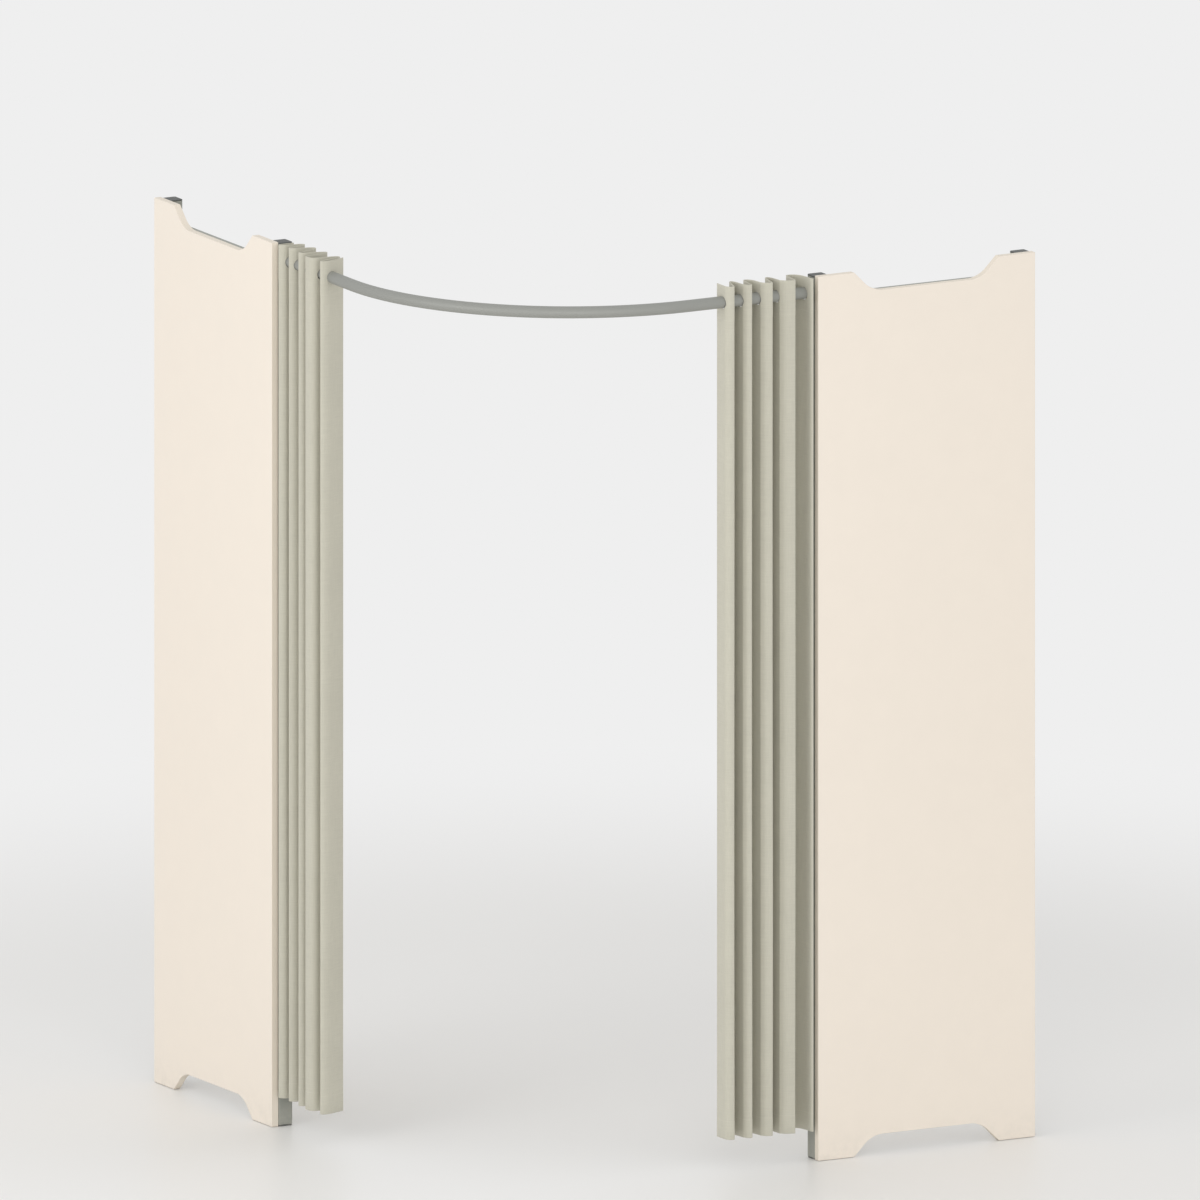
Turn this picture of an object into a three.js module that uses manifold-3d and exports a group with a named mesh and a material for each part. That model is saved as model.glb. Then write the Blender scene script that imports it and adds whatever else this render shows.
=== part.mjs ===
// A corner fitting room, in millimetres, +Z up.
// Two slim panels stand at right angles, each with its inner edge against a wall of the corner.
// A bent rail joins their free posts, and two gathered curtains hang on it.
// The origin is on the floor, at the middle of the square footprint. The corner is at +X +Y.
// The frame is drawn once for the left panel, and the right one is its mirror image.

import * as THREE from 'three';
import { mergeVertices } from 'three/addons/utils/BufferGeometryUtils.js';
import Module from 'manifold-3d';

const wasm = await Module();
wasm.setup();

// Overall sizes, and the gap left between pieces that touch
const footprint = 1580;
const panelHeight = 2200;
const panelWidth = 600;
const seat = 0.3;
const overrun = 4;

// Board, a laminated sheet with a cut-out at its top and bottom
const board = { thickness: 18, floorGap: 1 };
const notch = { depth: 50, land: 100, fillet: 48 };
const pilot = { radius: 2.9, depth: 12 };

// Posts, square steel tube with a plastic cap above and a glide below
const post = { size: 40, wall: 2, corner: 5, topDrop: 3 };
const cap = { flange: 3, plug: 14, slack: 0.4 };
const glide = { flange: 4, plug: 16, slack: 0.4, toeIn: 2 };

// Flat bars between the posts, welded on behind the board
const bar = { height: 30, thickness: 10 };

// Screws that hold the board, with pan heads on the room side of the posts
const screw = { shank: 2.4, head: 4.8, rise: 2.6, clear: 0.5, tipSlack: 2 };
const screwRow = { end: 180, count: 3 };

// Angle brackets that hold the wall posts
const bracket = { leg: 38, wall: 3, height: 60, end: 260, hole: 3.1 };
const bracketScrew = { reach: 7, spread: 15 };

// Rail, one bent tube, with a cup on the post at each end
const rail = { radius: 15, wall: 2, drop: 45, bend: 600 };
const socket = { floor: 3, wall: 3.1, bore: 15.4, reach: 11 };
const socketScrew = { shank: 3, head: 5.4, rise: 2.4, reach: 12, clear: 0.4 };
const grub = { radius: 2, length: 3.4, clear: 0.3 };

// Curtains, each a cloth gathered in folds with an eyelet through every leg of a fold
const cloth = { thickness: 2, depth: 64, topDrop: 5, hem: 75, turn: 13 };
const eyelet = { radius: 16, railGap: 0.5 };
const gathered = { left: 233, right: 242 };

// Where the folds turn, from the post outwards, as shares of the gathered width,
// with the side that each turn is on: 1 faces out of the room and -1 faces into it.
const leftTurnShares = [
  [0.06, -1], [0.112, 1], [0.155, -1], [0.335, 1], [0.429, -1], [0.541, 1],
  [0.631, -1], [0.704, 1], [0.854, -1], [0.987, 1], [1, -1],
];
const rightTurnShares = [
  [0.029, 1], [0.207, -1], [0.252, 1], [0.446, -1], [0.512, 1],
  [0.694, -1], [0.752, 1], [0.855, -1], [0.934, 1], [1, -1],
];

// How far the eyelets of each fold are drawn out sideways, as shares of the eyelet's radius:
// the outer folds swing round the bend of the rail, so theirs are longer.
const eyeletSlotShares = [0, 0, 0.3, 0.62, 0.5];

// Facets of the round shapes
const facets = { corner: 3, notch: 6, screw: 8, cup: 16, rail: 16, railBore: 8, railSteps: 40, eyelet: 7, fold: 6 };

// Finishes
const finish = {
  board: { color: 0xeee3d5, roughness: 0.55, metalness: 0 },
  steel: { color: 0x8f908a, roughness: 0.45, metalness: 0.6 },
  plastic: { color: 0x4c4d4b, roughness: 0.5, metalness: 0 },
  rail: { color: 0xa3a49f, roughness: 0.35, metalness: 0.7 },
  zinc: { color: 0xb4b6b6, roughness: 0.3, metalness: 0.9 },
  cloth: { color: 0xc6c3b2, roughness: 0.9, metalness: 0 },
};

// Places on the left panel that follow from the sizes. The board lies across X.
const half = footprint / 2;
const boardInner = -half + board.thickness;
const postNear = boardInner + seat;
const postFar = postNear + post.size;
const postMid = postNear + post.size / 2;
const freeFace = half - panelWidth;
const freeMid = freeFace + post.size / 2;
const wallMid = half - post.size / 2;
const postMids = { front: freeMid, wall: wallMid };
const postBottom = glide.flange + seat;
const capTop = panelHeight - post.topDrop;
const postTop = capTop - cap.flange - seat;
const railHeight = panelHeight - rail.drop;
const screwTip = boardInner - pilot.depth + screw.tipSlack;
const socketFace = freeFace - seat;

const group = new THREE.Group();

// Solids and meshes

function toSolid(geometry) {
  const bare = geometry.clone();
  bare.deleteAttribute('normal');
  bare.deleteAttribute('uv');
  const merged = mergeVertices(bare);
  return new wasm.Manifold(new wasm.Mesh({
    numProp: 3,
    vertProperties: new Float32Array(merged.attributes.position.array),
    triVerts: new Uint32Array(merged.index.array),
  }));
}

function toGeometry(solid) {
  const mesh = solid.getMesh();
  const geometry = new THREE.BufferGeometry();
  geometry.setAttribute('position', new THREE.BufferAttribute(new Float32Array(mesh.vertProperties), 3));
  geometry.setIndex(new THREE.BufferAttribute(new Uint32Array(mesh.triVerts), 1));
  geometry.computeVertexNormals();
  return geometry;
}

function joined(solids) {
  return solids.reduce((sum, next) => sum.add(next));
}

// Swapping x and y turns a piece of the left side into its twin on the right.
// The corners of each triangle are swapped too, so that the faces still point out.
function mirrored(solid) {
  const mesh = solid.getMesh();
  const places = new Float32Array(mesh.vertProperties);
  const corners = new Uint32Array(mesh.triVerts);
  for (let i = 0; i < places.length; i += 3) {
    [places[i], places[i + 1]] = [places[i + 1], places[i]];
  }
  for (let i = 0; i < corners.length; i += 3) {
    [corners[i + 1], corners[i + 2]] = [corners[i + 2], corners[i + 1]];
  }
  return new wasm.Manifold(new wasm.Mesh({ numProp: 3, vertProperties: places, triVerts: corners }));
}

function addPiece(name, solid, look) {
  const mesh = new THREE.Mesh(toGeometry(solid), new THREE.MeshStandardMaterial(look));
  mesh.name = name;
  group.add(mesh);
}

function addPair(name, solid, look) {
  addPiece(`left_${name}`, solid, look);
  addPiece(`right_${name}`, mirrored(solid), look);
}

function block(low, high) {
  const sizes = high.map((value, i) => value - low[i]);
  const geometry = new THREE.BoxGeometry(...sizes);
  geometry.translate(...low.map((value, i) => value + sizes[i] / 2));
  return toSolid(geometry);
}

// A round bar between two points
function roundBar(from, to, radius, sides) {
  const start = new THREE.Vector3(...from);
  const axis = new THREE.Vector3(...to).sub(start);
  const length = axis.length();
  const up = new THREE.Vector3(0, 1, 0);
  const geometry = new THREE.CylinderGeometry(radius, radius, length, sides);
  geometry.translate(0, length / 2, 0);
  geometry.applyQuaternion(new THREE.Quaternion().setFromUnitVectors(up, axis.normalize()));
  geometry.translate(start.x, start.y, start.z);
  return toSolid(geometry);
}

// A square outline with round corners
function squareShape(size, corner) {
  const shape = new THREE.Shape();
  const edge = size / 2 - corner;
  shape.absarc(edge, edge, corner, 0, Math.PI / 2);
  shape.absarc(-edge, edge, corner, Math.PI / 2, Math.PI);
  shape.absarc(-edge, -edge, corner, Math.PI, Math.PI * 1.5);
  shape.absarc(edge, -edge, corner, Math.PI * 1.5, Math.PI * 2);
  return shape;
}

// A square upright on the centre line of the left panel's posts
function upright(size, corner, y, bottom, top) {
  const geometry = new THREE.ExtrudeGeometry(squareShape(size, corner), {
    depth: top - bottom,
    bevelEnabled: false,
    curveSegments: facets.corner,
  });
  geometry.translate(postMid, y, bottom);
  return toSolid(geometry);
}

// A flat shape drawn in the panel's plane, u from its free edge and v up, made solid across the panel
function acrossPanel(shape, near, far) {
  const geometry = new THREE.ExtrudeGeometry(shape, {
    depth: far - near,
    bevelEnabled: false,
    curveSegments: facets.notch,
  });
  const along = new THREE.Vector3(0, 1, 0);
  const up = new THREE.Vector3(0, 0, 1);
  const across = new THREE.Vector3(1, 0, 0);
  geometry.applyMatrix4(new THREE.Matrix4().makeBasis(along, up, across));
  geometry.translate(near, freeFace, 0);
  return toSolid(geometry);
}

// Where the board's screws go: through each post at even heights

function screwHeights() {
  const pitch = (panelHeight - 2 * screwRow.end) / (screwRow.count - 1);
  return Array.from({ length: screwRow.count }, (_, i) => screwRow.end + i * pitch);
}

const barBottoms = { top: panelHeight - notch.depth - bar.height, bottom: board.floorGap + notch.depth };
const barEnds = [freeFace + post.size + seat, half - post.size - seat];
const boardScrews = Object.values(postMids).flatMap((y) => screwHeights().map((z) => [y, z]));

// Board

function notchedOutline() {
  const bottom = board.floorGap;
  const top = panelHeight;
  const reach = notch.fillet * Math.SQRT1_2;
  const slopeEnd = notch.land + notch.depth - notch.fillet + reach;
  const nearCentre = slopeEnd + reach;
  const farCentre = panelWidth - nearCentre;
  const lowCentre = bottom + notch.depth - notch.fillet;
  const highCentre = top - notch.depth + notch.fillet;
  const eighth = Math.PI / 4;
  const shape = new THREE.Shape();
  shape.moveTo(0, bottom);
  shape.lineTo(notch.land, bottom);
  shape.absarc(nearCentre, lowCentre, notch.fillet, 3 * eighth, 2 * eighth, true);
  shape.absarc(farCentre, lowCentre, notch.fillet, 2 * eighth, eighth, true);
  shape.lineTo(panelWidth - notch.land, bottom);
  shape.lineTo(panelWidth, bottom);
  shape.lineTo(panelWidth, top);
  shape.lineTo(panelWidth - notch.land, top);
  shape.absarc(farCentre, highCentre, notch.fillet, -eighth, -2 * eighth, true);
  shape.absarc(nearCentre, highCentre, notch.fillet, -2 * eighth, -3 * eighth, true);
  shape.lineTo(notch.land, top);
  shape.lineTo(0, top);
  return shape;
}

function makeBoard() {
  const deep = boardInner - pilot.depth;
  const holes = boardScrews.map(([y, z]) => (
    roundBar([deep, y, z], [boardInner + overrun, y, z], pilot.radius, facets.screw)
  ));
  return acrossPanel(notchedOutline(), -half, boardInner).subtract(joined(holes));
}

// Posts, caps and glides

function makePost(y) {
  const outer = upright(post.size, post.corner, y, postBottom, postTop);
  const bore = upright(post.size - 2 * post.wall, post.corner - post.wall, y, postBottom - overrun, postTop + overrun);
  const holes = screwHeights().map((z) => (
    roundBar([postNear - overrun, y, z], [postFar + overrun, y, z], screw.shank + screw.clear, facets.screw)
  ));
  return outer.subtract(bore).subtract(joined(holes));
}

// The hole in the front post that the cup's screw goes through
function cupScrewHole() {
  const radius = socketScrew.shank + socketScrew.clear;
  const inside = freeFace + post.wall + overrun;
  return roundBar([postMid, freeFace - overrun, railHeight], [postMid, inside, railHeight], radius, facets.screw);
}

function makeCap(y) {
  const lid = upright(post.size, post.corner, y, capTop - cap.flange, capTop);
  const plugSize = post.size - 2 * (post.wall + cap.slack);
  const plug = upright(plugSize, post.corner - post.wall, y, postTop - cap.plug, capTop);
  return lid.add(plug);
}

function makeGlide(y) {
  const foot = upright(post.size - glide.toeIn, post.corner - glide.toeIn / 2, y, 0, glide.flange);
  const plugSize = post.size - 2 * (post.wall + glide.slack);
  const plug = upright(plugSize, post.corner - post.wall, y, 0, postBottom + glide.plug);
  return foot.add(plug);
}

// Bars

function makeBar(bottom) {
  return block([postNear, barEnds[0], bottom], [postNear + bar.thickness, barEnds[1], bottom + bar.height]);
}

// A pan-head screw that goes from the face where its head seats towards the board
function panScrew(face, tip, y, z) {
  const shank = roundBar([tip, y, z], [face + seat + screw.rise / 2, y, z], screw.shank, facets.screw);
  const head = roundBar([face + seat, y, z], [face + seat + screw.rise, y, z], screw.head, facets.screw);
  return shank.add(head);
}

// Angle brackets: one leg on the room side of the wall post, the other flat on the wall

function makeBracket(middle) {
  const low = middle - bracket.height / 2;
  const high = middle + bracket.height / 2;
  const near = postFar + seat;
  const onPost = block([near, half - bracket.leg, low], [near + bracket.wall, half, high]);
  const onWall = block([near, half - bracket.wall, low], [near + bracket.leg, half, high]);
  const holes = bracketHoles(middle).flatMap(([along, z]) => [
    roundBar(
      [near - overrun, half - along, z],
      [near + bracket.wall + overrun, half - along, z],
      bracket.hole,
      facets.screw,
    ),
    roundBar(
      [near + along, half - bracket.wall - overrun, z],
      [near + along, half + overrun, z],
      bracket.hole,
      facets.screw,
    ),
  ]);
  return onPost.add(onWall).subtract(joined(holes));
}

function bracketHoles(middle) {
  const along = (bracket.leg + bracket.wall) / 2;
  return [[along, middle - bracketScrew.spread], [along, middle + bracketScrew.spread]];
}

const bracketMiddles = { lower: bracket.end, upper: panelHeight - bracket.end };
const bracketPins = Object.values(bracketMiddles).flatMap(bracketHoles);

// The holes in the wall post for the bracket's screws
function bracketScrewHoles() {
  return joined(bracketPins.map(([along, z]) => roundBar(
    [postFar - post.wall - overrun, half - along, z],
    [postFar + overrun, half - along, z],
    screw.shank + screw.clear,
    facets.screw,
  )));
}

// Rail: straight from one cup, round the bend and straight into the other

function circlePoints(radius, sides) {
  return Array.from({ length: sides }, (_, i) => {
    const angle = ((i + 0.5) / sides) * Math.PI * 2;
    return new THREE.Vector2(Math.cos(angle) * radius, Math.sin(angle) * radius);
  });
}

function makeRail() {
  const end = socketFace - socket.floor - seat;
  const centre = postMid + rail.bend;
  const route = new THREE.CurvePath();
  const corner = (x, y) => new THREE.Vector3(x, y, railHeight);
  const bend = new THREE.CatmullRomCurve3(Array.from({ length: facets.railSteps + 1 }, (_, i) => {
    const angle = Math.PI + (i / facets.railSteps) * (Math.PI / 2);
    return corner(centre + Math.cos(angle) * rail.bend, centre + Math.sin(angle) * rail.bend);
  }));
  route.add(new THREE.LineCurve3(corner(postMid, end), corner(postMid, centre)));
  route.add(bend);
  route.add(new THREE.LineCurve3(corner(centre, postMid), corner(end, postMid)));
  const section = new THREE.Shape(circlePoints(rail.radius, facets.rail));
  section.holes.push(new THREE.Path(circlePoints(rail.radius - rail.wall, facets.railBore)));
  return toSolid(new THREE.ExtrudeGeometry(section, { steps: facets.railSteps, extrudePath: route }));
}

// Cup that holds an end of the rail, with its screw into the post and its grub screw below

function makeSocket() {
  const outside = socket.bore + socket.wall;
  const mouth = socketFace - socket.reach;
  const body = roundBar([postMid, mouth, railHeight], [postMid, socketFace, railHeight], outside, facets.cup);
  const inner = socketFace - socket.floor;
  const bore = roundBar([postMid, mouth - overrun, railHeight], [postMid, inner, railHeight], socket.bore, facets.cup);
  const hole = roundBar(
    [postMid, inner - overrun, railHeight],
    [postMid, socketFace + overrun, railHeight],
    socketScrew.shank + socketScrew.clear,
    facets.screw,
  );
  const [top, bottom] = grubSpan();
  const grubHole = roundBar(
    [postMid, grubPlace, bottom - overrun],
    [postMid, grubPlace, top + overrun],
    grub.radius + grub.clear,
    facets.screw,
  );
  return body.subtract(bore).subtract(hole).subtract(grubHole);
}

const grubPlace = socketFace - (socket.floor + socket.reach) / 2;

function grubSpan() {
  const top = railHeight - rail.radius - seat;
  return [top, top - grub.length];
}

function makeSocketScrew() {
  const under = socketFace - socket.floor - seat;
  const shank = roundBar(
    [postMid, under - socketScrew.rise / 2, railHeight],
    [postMid, under + socketScrew.reach, railHeight],
    socketScrew.shank,
    facets.screw,
  );
  const head = roundBar(
    [postMid, under - socketScrew.rise, railHeight],
    [postMid, under, railHeight],
    socketScrew.head,
    facets.screw,
  );
  return shank.add(head);
}

function makeGrub() {
  const [top, bottom] = grubSpan();
  return roundBar([postMid, grubPlace, bottom], [postMid, grubPlace, top], grub.radius, facets.screw);
}

// Curtains: the middle line of the cloth, seen from above, as s along the rail and n across it

function foldLine(turns, width) {
  const reach = (cloth.depth - cloth.thickness) / 2;
  const legs = turns.slice(1).map((turn, i) => {
    const from = new THREE.Vector2(turns[i][0] * width, turns[i][1] * reach);
    const to = new THREE.Vector2(turn[0] * width, turn[1] * reach);
    const out = i === 0 ? 0 : cloth.turn;
    const back = i === turns.length - 2 ? 0 : cloth.turn;
    return new THREE.CubicBezierCurve(
      from,
      new THREE.Vector2(from.x + out, from.y),
      new THREE.Vector2(to.x - back, to.y),
      to,
    );
  });
  return legs;
}

// The legs between two turns on the room side make one fold.
function foldsOf(turns, width) {
  const legs = foldLine(turns, width);
  const folds = [];
  let started = 0;
  turns.forEach(([, side], i) => {
    if (side < 0 && i > 0) {
      folds.push({ legs: legs.slice(started, i), first: started === 0, last: i === legs.length });
      started = i;
    }
  });
  return folds;
}

function foldOutline(fold) {
  const middle = fold.legs.flatMap((leg, i) => leg.getPoints(facets.fold).slice(i === 0 ? 0 : 1));
  if (!fold.first) {
    middle[0].x += seat / 2;
  }
  if (!fold.last) {
    middle[middle.length - 1].x -= seat / 2;
  }
  const normals = middle.map((point, i) => {
    const before = middle[Math.max(i - 1, 0)];
    const after = middle[Math.min(i + 1, middle.length - 1)];
    const along = new THREE.Vector2().subVectors(after, before).normalize();
    return new THREE.Vector2(-along.y, along.x).multiplyScalar(cloth.thickness / 2);
  });
  const turnsAtCrest = fold.first ? [] : [0];
  if (!fold.last) {
    turnsAtCrest.push(middle.length - 1);
  }
  turnsAtCrest.forEach((i) => normals[i].set(0, cloth.thickness / 2));
  const left = middle.map((point, i) => point.clone().add(normals[i]));
  const right = middle.map((point, i) => point.clone().sub(normals[i]));
  return [...left, ...right.reverse()];
}

// An eyelet, seen along the rail: round, or drawn out sideways by the slot
function eyeletShape(slot) {
  const radius = eyelet.radius / Math.cos(Math.PI / facets.eyelet / 2);
  const corner = (side) => Array.from({ length: facets.eyelet }, (_, i) => {
    const angle = ((i + 0.5) / facets.eyelet - 0.5) * Math.PI;
    return new THREE.Vector2(side * (slot + Math.cos(angle) * radius), side * Math.sin(angle) * radius);
  });
  return new THREE.Shape([...corner(1), ...corner(-1)]);
}

function eyeletCutter(slot, from, to) {
  const geometry = new THREE.ExtrudeGeometry(eyeletShape(slot), { depth: to - from, bevelEnabled: false });
  geometry.rotateX(Math.PI / 2);
  const height = railHeight + rail.radius + eyelet.railGap - eyelet.radius;
  geometry.translate(postMid, freeFace - from, height);
  return toSolid(geometry);
}

function makeFold(fold, index, width) {
  const outline = foldOutline(fold).map((point) => new THREE.Vector2(postMid - point.y, freeFace - point.x));
  const top = panelHeight - cloth.topDrop;
  const geometry = new THREE.ExtrudeGeometry(new THREE.Shape(outline), {
    depth: top - cloth.hem,
    bevelEnabled: false,
  });
  geometry.translate(0, 0, cloth.hem);
  const slot = eyeletSlotShares[index] * eyelet.radius;
  return toSolid(geometry).subtract(eyeletCutter(slot, -cloth.turn, width + cloth.turn));
}

// The assembly

addPair('board', makeBoard(), finish.board);
addPair('front_post', makePost(postMids.front).subtract(cupScrewHole()), finish.steel);
addPair('wall_post', makePost(postMids.wall).subtract(bracketScrewHoles()), finish.steel);
for (const [place, y] of Object.entries(postMids)) {
  addPair(`${place}_post_cap`, makeCap(y), finish.plastic);
  addPair(`${place}_post_glide`, makeGlide(y), finish.plastic);
}
for (const [place, bottom] of Object.entries(barBottoms)) {
  addPair(`${place}_bar`, makeBar(bottom), finish.steel);
}
boardScrews.forEach(([y, z], i) => {
  addPair(`board_screw_${i + 1}`, panScrew(postFar, screwTip, y, z), finish.zinc);
});
for (const [place, middle] of Object.entries(bracketMiddles)) {
  addPair(`${place}_wall_bracket`, makeBracket(middle), finish.steel);
}
bracketPins.forEach(([along, z], i) => {
  const face = postFar + seat + bracket.wall;
  addPair(`bracket_screw_${i + 1}`, panScrew(face, postFar - bracketScrew.reach, half - along, z), finish.zinc);
});
addPiece('curtain_rail', makeRail(), finish.rail);
addPair('rail_socket', makeSocket(), finish.rail);
addPair('socket_screw', makeSocketScrew(), finish.zinc);
addPair('grub_screw', makeGrub(), finish.zinc);
foldsOf(leftTurnShares, gathered.left).forEach((fold, i) => {
  addPiece(`left_curtain_fold_${i + 1}`, makeFold(fold, i, gathered.left), finish.cloth);
});
foldsOf(rightTurnShares, gathered.right).forEach((fold, i) => {
  addPiece(`right_curtain_fold_${i + 1}`, mirrored(makeFold(fold, i, gathered.right)), finish.cloth);
});

export default group;
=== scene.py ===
import math
import bmesh
import bpy
from mathutils import Matrix, Vector


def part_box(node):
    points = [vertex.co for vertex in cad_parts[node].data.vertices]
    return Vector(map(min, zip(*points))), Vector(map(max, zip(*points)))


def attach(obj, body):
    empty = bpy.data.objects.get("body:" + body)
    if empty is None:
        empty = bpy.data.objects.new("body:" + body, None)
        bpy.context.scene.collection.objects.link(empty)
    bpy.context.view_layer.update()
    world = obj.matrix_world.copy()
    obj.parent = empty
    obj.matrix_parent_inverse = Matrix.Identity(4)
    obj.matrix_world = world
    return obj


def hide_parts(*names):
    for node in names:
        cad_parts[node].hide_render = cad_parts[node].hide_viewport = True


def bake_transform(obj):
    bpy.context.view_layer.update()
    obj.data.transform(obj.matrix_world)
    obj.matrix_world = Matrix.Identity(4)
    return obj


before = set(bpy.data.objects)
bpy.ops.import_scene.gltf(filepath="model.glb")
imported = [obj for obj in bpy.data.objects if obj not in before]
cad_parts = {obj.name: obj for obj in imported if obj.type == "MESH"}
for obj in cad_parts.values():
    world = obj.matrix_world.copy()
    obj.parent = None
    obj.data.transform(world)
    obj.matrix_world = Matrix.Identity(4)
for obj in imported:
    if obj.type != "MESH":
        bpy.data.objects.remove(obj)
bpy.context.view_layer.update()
print("frame loaded:", len(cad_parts), "nodes")

# The left side is modelled, and its twin on the right is the same with x and y swapped.
swapSides = Matrix(((0, 1, 0, 0), (1, 0, 0, 0), (0, 0, 1, 0), (0, 0, 0, 1)))
mm = 0.001

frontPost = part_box("left_front_post")
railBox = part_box("curtain_rail")
postMid = (frontPost[0].x + frontPost[1].x) / 2
freeFace = frontPost[0].y
railHeight = (railBox[0].z + railBox[1].z) / 2
railRadius = (railBox[1].z - railBox[0].z) / 2


# Camera

view = {
    "azimuth": math.radians(-28.5),
    "elevation": math.radians(12.1),
    "target": (0.1354, 0.2222, 1.2112),
    "width": 2.918,
    "away": 9.0,
}


def makeCamera():
    data = bpy.data.cameras.new("photo_view")
    data.type = "ORTHO"
    data.ortho_scale = view["width"]
    camera = bpy.data.objects.new("photo_view", data)
    bpy.context.scene.collection.objects.link(camera)
    flat = math.cos(view["elevation"])
    back = Vector((
        math.sin(view["azimuth"]) * flat,
        -math.cos(view["azimuth"]) * flat,
        math.sin(view["elevation"]),
    ))
    camera.location = Vector(view["target"]) + back * view["away"]
    camera.rotation_euler = (-back).to_track_quat("-Z", "Y").to_euler()
    bpy.context.scene.camera = camera


makeCamera()
print("camera placed")


# Node helpers

def paint(red, green, blue):
    # From sRGB values of 0 to 255 to linear light
    values = [value / 255 for value in (red, green, blue)]
    linear = [v / 12.92 if v <= 0.04045 else ((v + 0.055) / 1.055) ** 2.4 for v in values]
    return (*linear, 1.0)


def feed(tree, value, socket):
    if isinstance(value, bpy.types.NodeSocket):
        tree.links.new(value, socket)
    else:
        socket.default_value = value


def addNode(tree, kind, inputs=None, **settings):
    made = tree.nodes.new(kind)
    for name, value in settings.items():
        setattr(made, name, value)
    for name, value in (inputs or {}).items():
        feed(tree, value, made.inputs[name])
    return made


def calc(tree, operation, *values, clamp=False):
    made = addNode(tree, "ShaderNodeMath", operation=operation, use_clamp=clamp)
    for value, socket in zip(values, made.inputs):
        feed(tree, value, socket)
    return made.outputs[0]


def scaled(tree, value, factor):
    return calc(tree, "MULTIPLY", value, factor)


def ramp(tree, value, low, high):
    made = addNode(
        tree,
        "ShaderNodeMapRange",
        {"Value": value, "From Min": low, "From Max": high},
        interpolation_type="SMOOTHSTEP",
    )
    return made.outputs["Result"]


def mixColor(tree, factor, first, second, blend="MIX"):
    # The mix node has inputs of one name for each data type, so the color ones go by number
    made = addNode(tree, "ShaderNodeMix", data_type="RGBA", blend_type=blend)
    for number, value in ((0, factor), (6, first), (7, second)):
        feed(tree, value, made.inputs[number])
    return made.outputs[2]


def toneBy(tree, color, level):
    shade = addNode(tree, "ShaderNodeCombineColor", {"Red": level, "Green": level, "Blue": level})
    return mixColor(tree, 1.0, color, shade.outputs["Color"], "MULTIPLY")


def newGroup(name, inputs, outputs):
    group = bpy.data.node_groups.new(name, "ShaderNodeTree")
    kinds = {"vector": "NodeSocketVector", "color": "NodeSocketColor", "value": "NodeSocketFloat"}
    for label, kind in inputs.items():
        group.interface.new_socket(name=label, in_out="INPUT", socket_type=kinds[kind])
    for label, kind in outputs.items():
        group.interface.new_socket(name=label, in_out="OUTPUT", socket_type=kinds[kind])
    return group, group.nodes.new("NodeGroupInput").outputs, group.nodes.new("NodeGroupOutput").inputs


# Shared effects: moulded or sprayed grain, streaks drawn along a bar, and dust near the floor

noiseMiddle = 0.5
grainBlend = {"broadScale": 0.012, "fineShare": 0.35, "broadShare": 0.65, "roughSwing": 0.35}
streakBlend = {"lineShare": 0.5, "markShare": 0.5, "roughSwing": 0.5}
dustBlend = {"patchLow": 0.3, "patchHigh": 0.75, "falloff": 2.0}


def swing(group, given, result, noise, height, roughSwing):
    # The noise moves the color and the roughness to both sides of the given ones
    centred = calc(group, "SUBTRACT", noise, noiseMiddle)
    level = calc(group, "ADD", 1.0, calc(group, "MULTIPLY", centred, given["Contrast"]))
    group.links.new(toneBy(group, given["Color"], level), result["Color"])
    group.links.new(height, result["Height"])
    rough = calc(group, "ADD", given["Roughness"], scaled(group, centred, roughSwing), clamp=True)
    group.links.new(rough, result["Roughness"])


def makeGrain():
    group, given, result = newGroup(
        "fine grain",
        {"Place": "vector", "Color": "color", "Size": "value", "Contrast": "value", "Roughness": "value"},
        {"Color": "color", "Height": "value", "Roughness": "value"},
    )
    scale = calc(group, "DIVIDE", 1.0, given["Size"])
    fine = addNode(group, "ShaderNodeTexNoise", {
        "Vector": given["Place"], "Scale": scale, "Detail": 3.0, "Roughness": 0.6,
    }).outputs["Fac"]
    broad = addNode(group, "ShaderNodeTexNoise", {
        "Vector": given["Place"],
        "Scale": scaled(group, scale, grainBlend["broadScale"]),
        "Detail": 4.0,
        "Roughness": 0.55,
    }).outputs["Fac"]
    both = calc(group, "ADD", scaled(group, fine, grainBlend["fineShare"]),
                scaled(group, broad, grainBlend["broadShare"]))
    swing(group, given, result, both, fine, grainBlend["roughSwing"])
    return group


def makeStreaks():
    group, given, result = newGroup(
        "drawn streaks",
        {"Place": "vector", "Color": "color", "Contrast": "value", "Roughness": "value"},
        {"Color": "color", "Height": "value", "Roughness": "value"},
    )
    lines = addNode(group, "ShaderNodeTexNoise", {
        "Vector": given["Place"], "Scale": 900.0, "Detail": 2.0, "Roughness": 0.7,
    }).outputs["Fac"]
    marks = addNode(group, "ShaderNodeTexNoise", {
        "Vector": given["Place"], "Scale": 40.0, "Detail": 4.0, "Roughness": 0.6,
    }).outputs["Fac"]
    both = calc(group, "ADD", scaled(group, lines, streakBlend["lineShare"]),
                scaled(group, marks, streakBlend["markShare"]))
    swing(group, given, result, both, lines, streakBlend["roughSwing"])
    return group


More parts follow.
